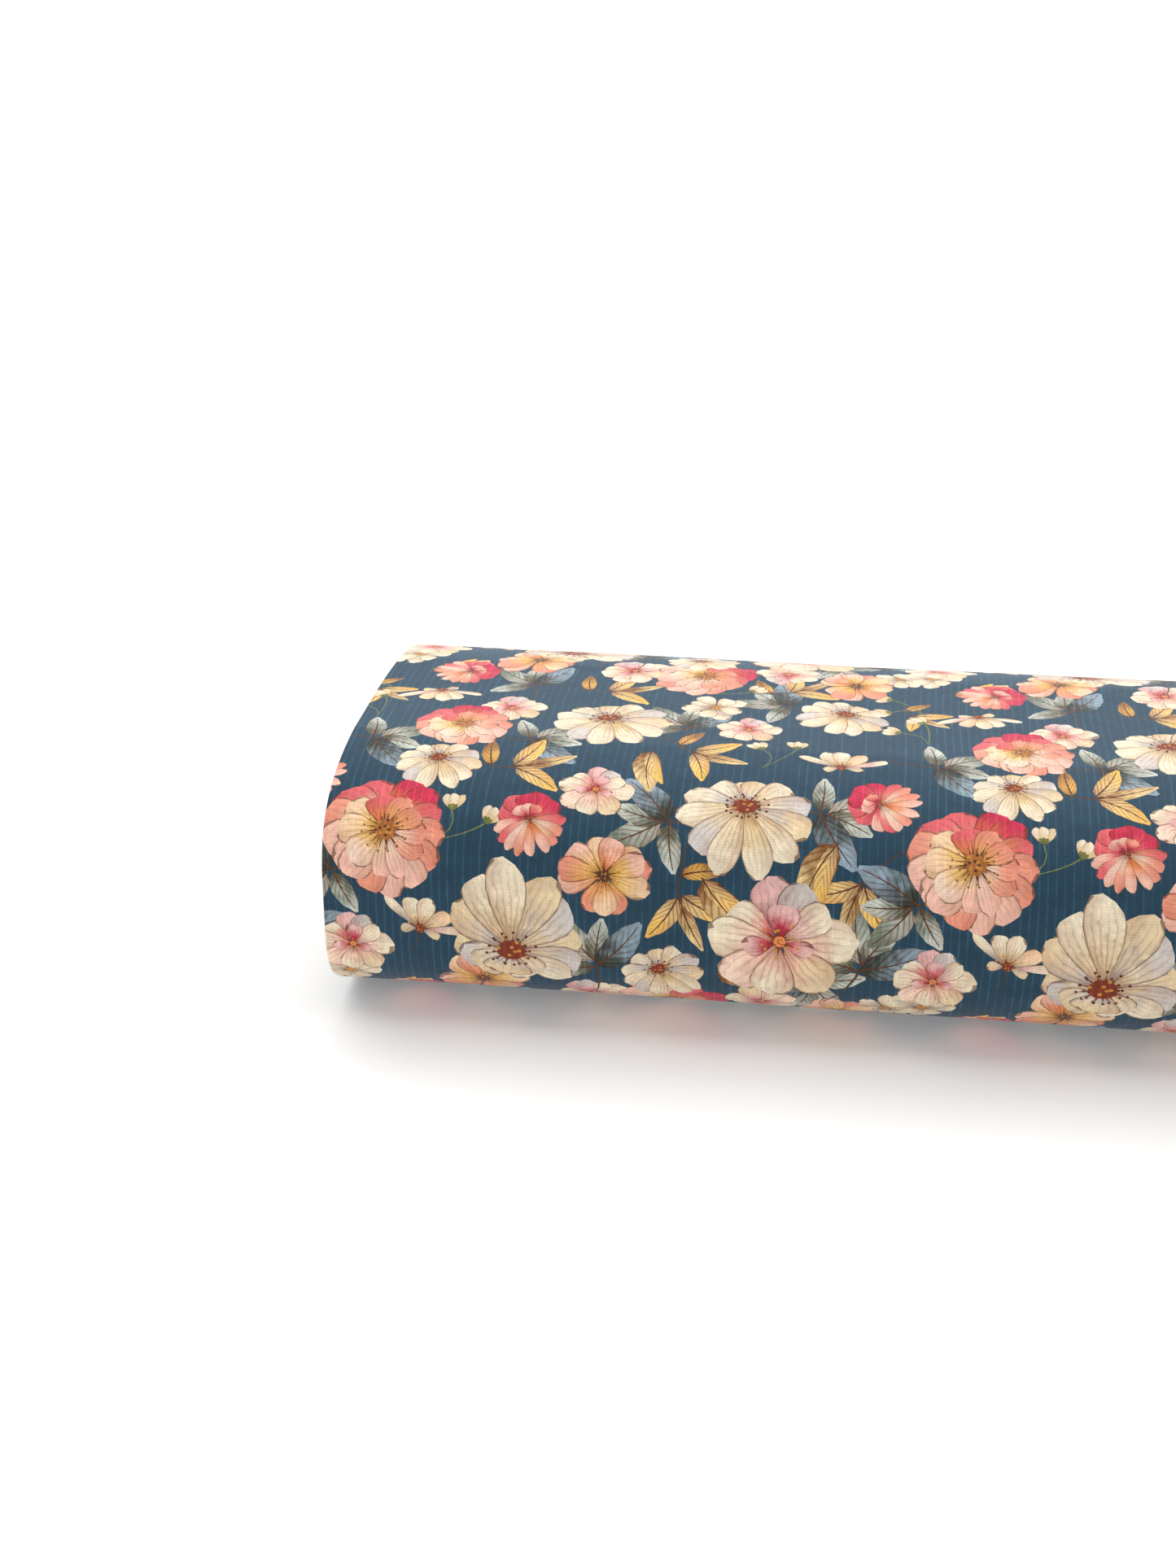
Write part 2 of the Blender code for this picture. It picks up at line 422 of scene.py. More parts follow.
def cosmos(seed):
    rows = [
        (102, 0.50, 0.60, SHADE, CREAM), (70, 0.54, 0.60, MIST, CREAM), (142, 0.68, 0.56, SHADE, IVORY),
        (32, 0.76, 0.58, CREAM, IVORY), (172, 0.92, 0.54, MIST, IVORY), (2, 1.00, 0.56, CREAM, MIST),
        (-26, 1.12, 0.54, MIST, CREAM), (198, 1.04, 0.54, CREAM, IVORY), (-50, 1.20, 0.52, CREAM, IVORY),
        (226, 1.14, 0.54, CREAM, MIST), (-74, 1.24, 0.50, STRAW, IVORY), (252, 1.22, 0.52, CREAM, IVORY),
    ]
    made = flower(rows, seed) + stamens(32, 0.20, 0.37, (RUST, BROWN, RUST), seed, squash=0.75)
    return [moved(patch, np.eye(2), (0.0, 0.18)) for patch in made]


def orange_cosmos(seed):
    made = []
    for i in range(12):
        tip = (CORAL, PEACH, SALMON)[i % 3]
        base = (ORANGE, YELLOW, APRICOT, YELLOW)[i % 4]
        length = 1.0 + 0.10 * math.sin(i * 2.7 + seed)
        made.append((i * 100 + 9 * math.sin(i + seed), length, 0.66, base, tip))
    return flower(made, seed) + stamens(26, 0.15, 0.44, (BROWN, GOLD, BROWN), seed)


def cup(seed):
    """A half-open flower seen from the side."""
    rows = [
        (158, 0.88, 0.70, CRIMSON, ROSE), (28, 0.90, 0.70, ROSE, CRIMSON), (122, 0.90, 0.72, CRIMSON, ROSE),
        (66, 0.92, 0.74, ROSE, CRIMSON), (94, 0.84, 0.70, CRIMSON, CRIMSON), (192, 0.98, 0.44, ROSE, SALMON),
        (-10, 1.00, 0.42, CORAL, ROSE), (-32, 1.04, 0.38, FLESH, CORAL), (212, 1.04, 0.40, SALMON, ROSE),
        (230, 1.08, 0.36, FLESH, SALMON), (-52, 1.10, 0.36, PEACH, CORAL), (-70, 1.12, 0.34, ORANGE, SALMON),
        (248, 1.10, 0.34, FLESH, CORAL), (266, 1.10, 0.34, ORANGE, SALMON),
        (132, 0.50, 0.44, CRIMSON, SALMON), (96, 0.44, 0.40, ROSE, SALMON), (56, 0.44, 0.40, CRIMSON, CORAL),
    ]
    return flower(rows, seed) + stamens(9, 0.07, 0.20, (RUST, BROWN, RUST), seed)


def orchid(seed):
    rows = [
        (100, 0.96, 0.66, MAUVE, BLUSH), (70, 0.92, 0.62, MAUVE, MIST), (146, 0.86, 0.60, ROSE, IVORY),
        (178, 1.02, 0.72, SALMON, IVORY), (6, 1.08, 0.78, SALMON, IVORY), (36, 0.86, 0.54, BLUSH, IVORY),
        (226, 1.04, 0.76, SALMON, FLESH), (-46, 1.04, 0.74, SALMON, CREAM), (262, 0.96, 0.70, SALMON, IVORY),
        (84, 0.56, 0.52, CRIMSON, BLUSH), (196, 0.50, 0.36, CRIMSON, BLUSH), (-18, 0.46, 0.30, ROSE, BLUSH),
    ]
    return flower(rows, seed) + stamens(14, 0.09, 0.30, (RUST, GOLD, ORANGE), seed)


def side_flower(seed):
    made = [stroke((0.0, -0.1), (0.06, -0.4), (-0.14, -0.7), 0.05, STEM)]
    rows = [
        (148, 1.16, 0.26, SHADE, IVORY), (8, 1.24, 0.26, BLUSH, IVORY), (118, 0.84, 0.46, CREAM, IVORY),
        (40, 0.84, 0.44, CREAM, PEACH), (82, 0.80, 0.50, CREAM, IVORY), (190, 0.42, 0.28, SHADE, CREAM),
        (-14, 0.50, 0.24, SHADE, CREAM),
    ]
    made += flower(rows, seed)
    return made + stamens(11, 0.12, 0.36, (RUST, GOLD, RUST), seed, 170.0, 90.0)


def daisy(seed):
    rows = []
    for i in range(8):
        length = 0.94 + 0.12 * math.sin(i * 3.3 + seed)
        rows.append((i * 135 + 8 * math.sin(i + seed), length, 0.64, (SHADE, CREAM)[i % 2], IVORY))
    return flower(rows, seed) + stamens(12, 0.16, 0.32, (RUST, BROWN, GOLD), seed)


def buds(seed):
    """Two half-open buds on thin stems."""
    made = []
    for x, y, angle in ((-0.55, 0.25, 100), (0.55, 0.05, 70)):
        made.append(stroke((x, y), (0.3 * x, -0.4), (-0.9, -0.85), 0.05, GREEN))
        for spread, tone in ((-26, CREAM), (26, IVORY), (0, IVORY)):
            bud = petal(angle + spread, 0.66, 0.32, STRAW, tone, seed + spread / 50, start=0.0)
            made.append(moved(bud, np.eye(2), (x, y)))
        for spread in (-30, 30, 0):
            calyx = petal(angle + spread, 0.30, 0.13, GREEN, GREEN, seed, start=-0.03, point=1.5)
            made.append(moved(calyx, np.eye(2), (x, y)))
    return made


def stalk(points, seed):
    """A thin curved stem through three points."""
    return stroke(*points, 0.05, STEM, seed)


def placed_leaf(x, y, angle, length, width, tones, seed, bend):
    """A leaf and its midrib, growing from a point on a stem."""
    blade = leaf(angle, length, width, *tones, seed, bend, 0.02)
    rib = stroke((0.0, 0.0), (length * 0.5, 0.0), (length * 0.92, bend * length * 0.85), 0.035, BROWN, seed)
    rib = moved(rib, turn_matrix(angle), (0.0, 0.0))
    return [moved(patch, np.eye(2), (x, y)) for patch in (blade, rib)]


def leaf_sprig(seed):
    made = [stalk([(0.05, 0.05), (-0.1, -0.4), (-0.5, -0.8)], seed)]
    tones = [(DARK_LEAF, BLUE_LEAF), (GREY_LEAF, PALE_LEAF), (PALE_LEAF, GREY_LEAF)]
    made += placed_leaf(0.0, 0.0, 160, 0.86, 0.40, tones[1], seed, 0.14)
    made += placed_leaf(0.05, 0.1, 106, 1.04, 0.50, tones[2], seed + 1, -0.16)
    made += placed_leaf(0.05, 0.1, 58, 0.86, 0.42, tones[1], seed + 2, -0.10)
    made += placed_leaf(0.0, 0.0, 10, 1.20, 0.58, tones[0], seed + 3, 0.18)
    return made


def gold_sprig(seed):
    made = [stalk([(0.0, 0.0), (0.1, 0.5), (0.4, 1.05)], seed)]
    tones = [(OCHRE, STRAW), (STRAW, YELLOW), (YELLOW, OCHRE)]
    made += placed_leaf(0.0, 0.0, -84, 1.14, 0.30, tones[0], seed, 0.14)
    made += placed_leaf(0.0, -0.02, -122, 0.98, 0.40, tones[1], seed + 1, -0.22)
    made += placed_leaf(0.05, 0.0, -46, 0.98, 0.40, tones[1], seed + 2, 0.20)
    made += placed_leaf(0.1, 0.35, 8, 0.78, 0.32, tones[2], seed + 3, -0.18)
    return made


def gold_leaf(seed):
    """A big leaf that curls over, so that it shows both of its faces."""
    made = placed_leaf(0.0, 0.0, -70, 1.7, 0.74, (OCHRE, STRAW), seed, 0.26)
    over = leaf(-60, 1.40, 0.40, STRAW, YELLOW, seed, 0.30, 0.06)
    return [made[0], over, made[1]]


# Where each motif sits in the repeat: kind, x, y, its radius (all in mm) and its turn in degrees.
LAYOUT = [
    (leaf_sprig, 5, 22, 30, 130), (leaf_sprig, 12, 114, 30, -70), (leaf_sprig, 96, 122, 30, -60),
    (leaf_sprig, 178, 147, 31, 30), (leaf_sprig, 86, 200, 30, 40), (leaf_sprig, 142, -24, 30, 30),
    (leaf_sprig, 178, 58, 32, 110), (leaf_sprig, 254, 70, 31, -80), (leaf_sprig, 276, -16, 32, 0),
    (leaf_sprig, 232, 186, 30, 80), (leaf_sprig, 254, 262, 31, 200), (leaf_sprig, 122, 258, 24, 20),
    (gold_sprig, 184, 20, 29, 10), (gold_sprig, 276, 32, 29, -30), (gold_sprig, 92, 92, 31, 100),
    (gold_sprig, 184, 116, 28, 60), (gold_sprig, 130, 196, 29, 100), (gold_sprig, 232, 208, 28, 120),
    (gold_leaf, 196, 30, 25, 10), (gold_leaf, 264, 52, 25, -60), (gold_leaf, 163, 116, 22, -30),
    (gold_sprig, 300, 182, 22, 40),
    (gold_leaf, 22, 216, 22, 90), (gold_leaf, 204, 262, 21, 60),
    (buds, 74, 52, 17, -10), (buds, 231, 122, 16, 20), (buds, 3, 162, 17, 60), (buds, 200, 208, 17, -20),
    (buds, 292, 196, 16, 100),
    (side_flower, 50, -8, 21, -10), (side_flower, 263, 108, 20, 8), (side_flower, 36, 186, 20, 200),
    (daisy, 10, 244, 16, 0), (daisy, 192, 180, 17, 20), (daisy, 292, 240, 15, 50),
    (orchid, 14, -20, 19, 0), (orchid, 138, 78, 18, -8), (orchid, 80, 164, 17, 10),
    (orchid, 212, 150, 16, -5), (orchid, 140, 232, 19, 30), (orchid, 228, 238, 17, 160),
    (cosmos, 176, -26, 20, 20), (cosmos, 52, 94, 21, 10), (cosmos, 262, 176, 24, -30),
    (orange_cosmos, 146, 28, 21, 0), (orange_cosmos, 82, -42, 23, 40), (orange_cosmos, 268, 224, 21, 70),
    (cup, 106, 56, 18, 10), (cup, 284, 78, 18, 75), (cup, 46, 218, 18, -60),
    (peony, 58, 138, 23, 30), (peony, 182, 228, 25, -40), (peony, 32, 45, 28.5, 0),
    (anemone, 98, -8, 34, 0), (cosmos, 216, 66, 32, 0), (cosmos, 136, 152, 30, 15),
    (orchid, 236, -2, 34, 0),
]


def one_repeat():
    """Every patch of ink in one repeat of the print, the lowest first."""
    made = []
    for number, (motif, x, y, radius, turn) in enumerate(LAYOUT):
        for patch in motif(0.61 * number + 0.2):
            made.append(moved(patch, turn_matrix(turn, radius), (x, y)))
    return made


REPEAT = one_repeat()


def ground_patch():
    return shape([(0, 0), (1, 0), (0, 1)], (GROUND, GROUND), (0.0, 0.0, 0.35), 0.5)


def plain_patch(low, high, colour):
    outline = [(low[0], low[1]), (high[0], low[1]), (high[0], high[1]), (low[0], high[1])]
    return shape(outline, (colour, colour), (0.0, 0.0, 0.15), 0.5)


def bare_margins(low, high):
    """The unprinted selvedges and the cut hem, where a region of the cloth reaches them."""
    made = []
    wide, past = 2000.0, 30.0
    for side, face in ((1, LENGTH_MM), (-1, -LENGTH_MM - FOLD_MM)):
        inner, outer = face - side * SELVEDGE / MM, face + side * past
        edge = face + side * 0.6
        if low[0] < max(inner, outer) and high[0] > min(inner, outer):
            made.append(plain_patch((min(inner, outer), -wide), (max(inner, outer), wide), UNPRINTED))
            made.append(plain_patch((min(edge, outer), -wide), (max(edge, outer), wide), REVERSE))
    if high[1] > HEM_Y:
        made.append(plain_patch((-wide, HEM_Y + 0.1), (wide, HEM_Y + past), UNPRINTED))
        made.append(plain_patch((-wide, HEM_Y + 0.9), (wide, HEM_Y + past), REVERSE))
    return made


def patches_over(low, high):
    """The repeats that reach into a region of the cloth, with the ground first, and its bare margins last."""
    made = [ground_patch()]
    boxes = [(patch["outline"].min(0), patch["outline"].max(0)) for patch in REPEAT]
    columns = range(math.floor(low[0] / REPEAT_X) - 1, math.ceil(high[0] / REPEAT_X) + 1)
    rows = range(math.floor(low[1] / REPEAT_Y) - 1, math.ceil(high[1] / REPEAT_Y) + 1)
    for column in columns:
        for row in rows:
            shift = np.array([column * REPEAT_X, row * REPEAT_Y])
            for patch, (least, most) in zip(REPEAT, boxes):
                if ((least + shift) < high).all() and ((most + shift) > low).all():
                    made.append(moved(patch, np.eye(2), shift))
    return made + bare_margins(low, high)


def spaced(low, high, about):
    count = max(2, int(round((high - low) / about)) + 1)
    return np.linspace(low, high, count)


def lines_over(low, high):
    """Grid lines that let the flat print bend: finer where the cloth turns round an edge."""
    fold = [-FOLD_MM * k / 5 for k in range(6)]
    edge = [LENGTH_MM + EDGE_MM * k / 3 for k in range(4)]
    under = [-LENGTH_MM - FOLD_MM - EDGE_MM * k / 3 for k in range(4)]
    hem = [HEM_Y + EDGE_MM * k / 3 for k in range(4)]
    xs = np.concatenate([spaced(low[0], high[0], GRID_X), fold, edge, under])
    ys = np.concatenate([spaced(low[1], high[1], GRID_Y), hem])
    return xs[(xs >= low[0]) & (xs <= high[0])], ys[(ys >= low[1]) & (ys <= high[1])]


def anticlockwise(outline):
    """The outline in the one winding whose inside the triangulation takes as filled."""
    x, y = outline[:, 0], outline[:, 1]
    area = (x * np.roll(y, -1) - y * np.roll(x, -1)).sum()
    return outline if area > 0 else outline[::-1]


def tile_triangles(low, high, patches):
    """One tile as triangles that never cross an outline, and the topmost patch at each one."""
    points = []
    edges = []
    faces = []
    for patch in patches[1:]:
        first = len(points)
        points += [Vector(p) for p in anticlockwise(patch["outline"])]
        faces.append(list(range(first, len(points))))
    xs, ys = lines_over(low, high)
    for x in xs:
        points += [Vector((x, low[1])), Vector((x, high[1]))]
        edges.append((len(points) - 2, len(points) - 1))
    for y in ys:
        points += [Vector((low[0], y)), Vector((high[0], y))]
        edges.append((len(points) - 2, len(points) - 1))
    flat, _, found, _, _, owners = delaunay_2d_cdt(points, edges, faces, 0, 1e-4)
    flat = np.array([(p.x, p.y) for p in flat])
    found = np.array(found)
    top = np.array([max(owner) + 1 if owner else 0 for owner in owners])
    middle = flat[found].mean(axis=1)
    inside = ((middle > low) & (middle < high)).all(axis=1)
    return flat[found[inside]], top[inside]


def triangulated(low, high):
    """The flat region as triangles, made tile by tile: (points, faces, the patch at each face, patches)."""
    corners = []
    tops = []
    patches = []
    across = spaced(low[0], high[0], TILE)
    up = spaced(low[1], high[1], TILE)
    for i in range(len(across) - 1):
        for j in range(len(up) - 1):
            tile_low = np.array([across[i], up[j]])
            tile_high = np.array([across[i + 1], up[j + 1]])
            here = patches_over(tile_low, tile_high)
            tile_corners, top = tile_triangles(tile_low, tile_high, here)
            corners.append(tile_corners)
            tops.append(top + len(patches))
            patches += here
    corners = np.concatenate(corners)
    keys = np.round(corners.reshape(-1, 2) / WELD).astype(np.int64)
    _, first, faces = np.unique(keys, axis=0, return_index=True, return_inverse=True)
    flat = corners.reshape(-1, 2)[first]
    faces = faces.reshape(-1, 3)
    whole = (faces[:, 0] != faces[:, 1]) & (faces[:, 1] != faces[:, 2]) & (faces[:, 0] != faces[:, 2])
    return flat, faces[whole], np.concatenate(tops)[whole], patches


def petal_places(corners, top, patches):
    """For each triangle corner: how far along its petal it is, how far across, and the petal's seed."""
    matrices = np.array([p["to_local"] for p in patches])[top]
    origins = np.array([p["origin"] for p in patches])[top]
    sizes = np.array([p["size"] for p in patches])[top]
    forms = np.array([p["form"] for p in patches])[top]
    seeds = np.array([p["seed"] for p in patches])[top]
    full = np.array([fullest(p["form"][0], p["form"][1]) for p in patches])[top]
    offset = corners - origins[:, None, :]
    local = np.einsum("fij,fcj->fci", matrices, offset)
    along = np.clip(local[..., 0] / sizes[:, None, 0], 0.0, 1.0)
    swell, point, bend = (forms[:, None, k] for k in range(3))
    bell = 2 * np.sqrt(np.clip(along * (1 - along), 0.0004, 1.0))
    half = sizes[:, None, 1] / 2 * bell**point * np.maximum(along, 0.02) ** swell / full[:, None]
    across = (local[..., 1] - bend * sizes[:, None, 0] * along**2) / np.maximum(half, 1e-6)
    seed = np.repeat(seeds[:, None], 3, axis=1)
    return np.stack([along, np.clip(across, -1.2, 1.2), seed], axis=-1)


def per_corner(mesh, name, kind, values):
    attribute = mesh.attributes.new(name, kind, "CORNER")
    key = "color" if kind == "FLOAT_COLOR" else "vector"
    attribute.data.foreach_set(key, np.asarray(values, np.float32).ravel())


def printed_sheet(name, low, high):
    """A stretch of printed cloth, from its place in the flat print."""
    flat, faces, top, patches = triangulated(np.array(low), np.array(high))
    x_mm, y_mm = flat[:, 0], flat[:, 1]
    places = cloth_point(x_mm, y_mm, softness(x_mm, y_mm))
    mesh = bpy.data.meshes.new(name)
    mesh.from_pydata(places.tolist(), [], faces.tolist())
    corners = flat[faces]
    count = len(faces)
    flat_patches = petal_places(corners, top, patches)
    tints = np.array([[(*c, 1.0) for c in p["colours"]] for p in patches])[top]
    styles = np.array([p["style"] for p in patches], float)[top]
    per_corner(mesh, "petal_place", "FLOAT_VECTOR", flat_patches)
    per_corner(mesh, "petal_style", "FLOAT_VECTOR", np.repeat(styles[:, None], 3, axis=1))
    per_corner(mesh, "tint_base", "FLOAT_COLOR", np.repeat(tints[:, None, 0], 3, axis=1))
    per_corner(mesh, "tint_tip", "FLOAT_COLOR", np.repeat(tints[:, None, 1], 3, axis=1))
    cloth_uv = mesh.uv_layers.new(name="cloth")
    cloth_uv.data.foreach_set("uv", (corners * MM).astype(np.float32).ravel())
    bake_uv = mesh.uv_layers.new(name="OFBake")
    spread = (corners - np.array(low)) / (np.array(high) - np.array(low))
    bake_uv.data.foreach_set("uv", spread.astype(np.float32).ravel())
    mesh.polygons.foreach_set("use_smooth", np.ones(count, bool))
    mesh.validate()
    mesh.normals_split_custom_set_from_vertices(outward(x_mm, y_mm, softness).tolist())
    made = bpy.data.objects.new(name, mesh)
    bpy.context.scene.collection.objects.link(made)
    made.data.materials.append(PRINTED_KNIT)
    return made


# ---------------------------------------------------------------- the turns underneath


def open_strip(name, rings, metres):
    """A strip through rows of points. Its UVs hold the distance along the cloth at each row."""
    rows, count = rings.shape[:2]
    faces = []
    for row in range(rows - 1):
        for i in range(count - 1):
            a, b = row * count + i, (row + 1) * count + i
            faces.append((a, a + 1, b + 1, b))
    mesh = bpy.data.meshes.new(name)
    mesh.from_pydata(rings.reshape(-1, 3).tolist(), [], faces)
    mesh.polygons.foreach_set("use_smooth", np.ones(len(faces), bool))
    row, place = np.divmod(np.array(faces).ravel(), count)
    uv = mesh.uv_layers.new(name="cloth")
    uv.data.foreach_set("uv", np.stack([place / (count - 1), metres[row]], 1).astype(np.float32).ravel())
    made = bpy.data.objects.new(name, mesh)
    bpy.context.scene.collection.objects.link(made)
    return made


def pair_outline():
    """The cut across the folded cloth, from one raw edge round the fold to the other.

    Each point is (end, distance past that end in mm, depth from 0 to 1 through the pair)."""
    raw = [(1, -3.0, 0.40), (1, -0.3, 0.40), (1, 0.0, 0.34), (1, 0.1, 0.2), (1, 0.0, 0.06), (1, -0.3, 0.0)]
    fold = [(-1, math.sin(math.pi * k / 6), (1 - math.cos(math.pi * k / 6)) / 2) for k in range(7)]
    under = [(end, past - 0.9, 1 - depth) for end, past, depth in raw[::-1]]
    return raw + fold + under


def wound_turns(name):
    """The length of cloth under the printed turns, as one strip that spirals in to the board."""
    first = 1.0 + first_turns(TAIL_TOP_ANGLE) + 0.012
    last = CLOTH_DEPTH / PAIR - 1.1
    turns = np.linspace(first, last, int((last - first) * ROWS_PER_TURN))
    angle = wound_angle(turns)
    outline = pair_outline()
    rings = np.zeros((len(turns), len(outline), 3))
    shift = 0.9 * np.sin(turns * 5.3) + 0.6 * np.sin(turns * 13.7 + 1.0) + 0.5 * np.sin(turns * 2.9 + 2.0)
    for i, (end, past, depth) in enumerate(outline):
        y, z = section(angle, wound_inset(turns) + depth * PAIR * 0.88 + 0.2 * MM)
        rings[:, i, 0] = end * (HALF_LENGTH - SETBACK + past * MM) + shift * MM
        rings[:, i, 1] = y
        rings[:, i, 2] = z
    steps = np.hypot(*np.diff(np.stack(section(angle, wound_inset(turns))), axis=1))
    metres = np.concatenate([[0.0], np.cumsum(steps)])
    made = open_strip(name, rings, metres)
    made.data.materials.append(CLOTH_EDGES)
    return made, float(metres[-1])


# ---------------------------------------------------------------- materials


def new_material(name):
    material = bpy.data.materials.new(name)
    material.use_nodes = True
    tree = material.node_tree
    return material, tree, tree.nodes["Principled BSDF"]


def put(tree, kind, inputs=None, **settings):
    """A node with its settings, and its inputs linked or set."""
    made = tree.nodes.new("ShaderNode" + kind)
    for name, value in settings.items():
        setattr(made, name, value)
    for key, value in (inputs or {}).items():
        if isinstance(value, bpy.types.NodeSocket):
            tree.links.new(value, made.inputs[key])
        else:
            made.inputs[key].default_value = value
    return made


def calc(tree, operation, *values):
    inputs = dict(enumerate(values))
    return put(tree, "Math", inputs, operation=operation).outputs[0]


def mixed(tree, factor, first, second, blend="MIX"):
    made = put(tree, "Mix", {0: factor, 6: first, 7: second}, data_type="RGBA", blend_type=blend)
    return made.outputs[2]


def ramped(tree, value, low, high, to_low=0.0, to_high=1.0):
    """value eased from low..high to to_low..to_high."""
    inputs = {0: value, 1: low, 2: high, 3: to_low, 4: to_high}
    return put(tree, "MapRange", inputs, interpolation_type="SMOOTHSTEP").outputs[0]


def noise(tree, vector, scale, detail=2.0, rough=0.5):
    inputs = {"Vector": vector, "Scale": scale, "Detail": detail, "Roughness": rough}
    return put(tree, "TexNoise", inputs).outputs["Fac"]


def shade_colour(tree, value):
    return put(tree, "CombineColor", {0: value, 1: value, 2: value}).outputs[0]


def attribute(tree, name, output):
    return put(tree, "Attribute", attribute_name=name).outputs[output]


def grey(value):
    return (value, value, value, 1.0)


def knit_relief(tree, u_mm, v_mm, grain):
    """(rib, stitch): the raised line of each rib, and the rows of stitches across it. Both make the bump, and
    both are also painted into the colour as highlight and shade.
    """
    rib_share = calc(tree, "FRACT", calc(tree, "DIVIDE", u_mm, RIB_PITCH / MM))
    from_line = calc(tree, "ABSOLUTE", calc(tree, "SUBTRACT", rib_share, 0.5))
    rib = ramped(tree, from_line, 0.05, 0.20, 1.0, 0.0)
    wander = calc(tree, "MULTIPLY", grain, 1.6)
    rows = calc(tree, "SINE", calc(tree, "MULTIPLY_ADD", v_mm, 2 * math.pi / 1.5, wander))
    return rib, calc(tree, "MULTIPLY_ADD", rows, 0.5, 0.5)


def printed_knit():
    """The printed face: each patch of ink is shaded from base to tip, and the ribs' painted highlight and
    shade are laid over it.
    """
    material, tree, shader = new_material("printed_knit")
    place = put(tree, "SeparateXYZ", {0: attribute(tree, "petal_place", "Vector")})
    along, across, seed = place.outputs
    style = put(tree, "SeparateXYZ", {0: attribute(tree, "petal_style", "Vector")})
    veined, leafy, washed = style.outputs
    base = attribute(tree, "tint_base", "Color")
    tip = attribute(tree, "tint_tip", "Color")
    uv = put(tree, "UVMap", uv_map="cloth").outputs[0]
    flat = put(tree, "SeparateXYZ", {0: uv})
    u_mm = calc(tree, "MULTIPLY", flat.outputs[0], 1000.0)
    v_mm = calc(tree, "MULTIPLY", flat.outputs[1], 1000.0)
    inks = put(tree, "CombineXYZ", {0: u_mm, 1: v_mm, 2: calc(tree, "MULTIPLY", seed, 37.0)}).outputs[0]

    blots = noise(tree, inks, 0.11, 3.0, 0.6)
    speckle = noise(tree, inks, 0.34, 2.0, 0.5)
    fine = noise(tree, inks, 2.2, 2.0, 0.6)

    flow = calc(tree, "MULTIPLY_ADD", calc(tree, "SUBTRACT", blots, 0.5), 1.0, along)
    colour = mixed(tree, ramped(tree, flow, 0.12, 0.85), base, tip)

    # Fine lines that fan out along a petal, and slant off the middle of a leaf.
    side = calc(tree, "ABSOLUTE", across)
    fan = calc(tree, "MULTIPLY_ADD", across, 17.0, calc(tree, "MULTIPLY", blots, 9.0))
    slant = calc(tree, "MULTIPLY_ADD", along, 42.0, calc(tree, "MULTIPLY", side, -14.0))
    lines = put(tree, "Mix", {0: leafy, 2: fan, 3: slant}).outputs[0]
    lines = calc(tree, "MULTIPLY_ADD", calc(tree, "SINE", lines), 0.5, 0.5)
    lines = calc(tree, "POWER", lines, 4.0)
    reach = ramped(tree, calc(tree, "MULTIPLY_ADD", speckle, 0.5, along), 0.5, 1.35, 1.0, 0.25)
    lines = calc(tree, "MULTIPLY", calc(tree, "MULTIPLY", lines, reach), calc(tree, "MULTIPLY", veined, 0.85))
    colour = mixed(tree, lines, colour, mixed(tree, 1.0, colour, (0.45, 0.24, 0.14, 1.0), "MULTIPLY"))

    # Paint thins to light patches and pools to dark ones.
    wash = calc(tree, "MULTIPLY", calc(tree, "SUBTRACT", speckle, 0.5), calc(tree, "MULTIPLY", washed, 0.35))
    wash = calc(tree, "MULTIPLY_ADD", calc(tree, "SUBTRACT", blots, 0.5), washed, wash)
    wash = calc(tree, "MULTIPLY_ADD", wash, 1.3, 1.0)
    colour = mixed(tree, 1.0, colour, shade_colour(tree, wash), "MULTIPLY")

    # One side of each petal turns away from the light.
    drawn = calc(tree, "GREATER_THAN", veined, 0.01)
    turned = calc(tree, "MULTIPLY", ramped(tree, across, -0.2, 1.0, 0.0, 0.40), drawn)
    colour = mixed(tree, turned, colour, mixed(tree, 1.0, colour, (0.62, 0.42, 0.36, 1.0), "MULTIPLY"))

    # Where one petal tucks under the next, and the thin brown line round each.
    tucked = calc(tree, "MULTIPLY", ramped(tree, along, 0.0, 0.42, 0.62, 0.0), drawn)
    colour = mixed(tree, tucked, colour, mixed(tree, 1.0, colour, (0.36, 0.20, 0.12, 1.0), "MULTIPLY"))
    rim = ramped(tree, calc(tree, "MULTIPLY_ADD", fine, 0.05, side), 0.91, 1.0, 0.0, 0.75)
    rim = calc(tree, "MULTIPLY", rim, drawn)
    colour = mixed(tree, rim, colour, (*BROWN, 1.0))

    # The knit's relief is also painted into the colour. Each rib's raised line gets a painted highlight,
    # strongest on the dark ground and varying from rib to rib. The grooves between ribs and between stitch
    # rows get painted shade. A fine random tone is added on top.
    rib, stitch = knit_relief(tree, u_mm, v_mm, fine)
    brightness = put(tree, "RGBToBW", {0: colour}).outputs[0]
    own = calc(tree, "FLOOR", calc(tree, "DIVIDE", u_mm, RIB_PITCH / MM))
    own = put(tree, "TexWhiteNoise", {"W": own}, noise_dimensions="1D").outputs["Value"]
    on_ground = ramped(tree, brightness, 0.02, 0.35, 0.80, 0.13)
    on_ground = calc(tree, "MULTIPLY", on_ground, calc(tree, "MULTIPLY_ADD", own, 0.8, 0.3))
    faded = calc(tree, "MULTIPLY", on_ground, ramped(tree, blots, 0.30, 0.65, 0.35, 1.0))
    knit_highlight_and_shade = calc(tree, "MULTIPLY_ADD", rib, faded, 0.93)
    knit_highlight_and_shade = calc(tree, "MULTIPLY", knit_highlight_and_shade, calc(tree, "MULTIPLY_ADD", stitch, 0.08, 0.96))
    knit_highlight_and_shade = calc(tree, "MULTIPLY", knit_highlight_and_shade, calc(tree, "MULTIPLY_ADD", fine, 0.16, 0.92))
    lit = shade_colour(tree, knit_highlight_and_shade)
    colour = mixed(tree, 1.0, colour, lit, "MULTIPLY")
    tree.links.new(colour, shader.inputs["Base Color"])

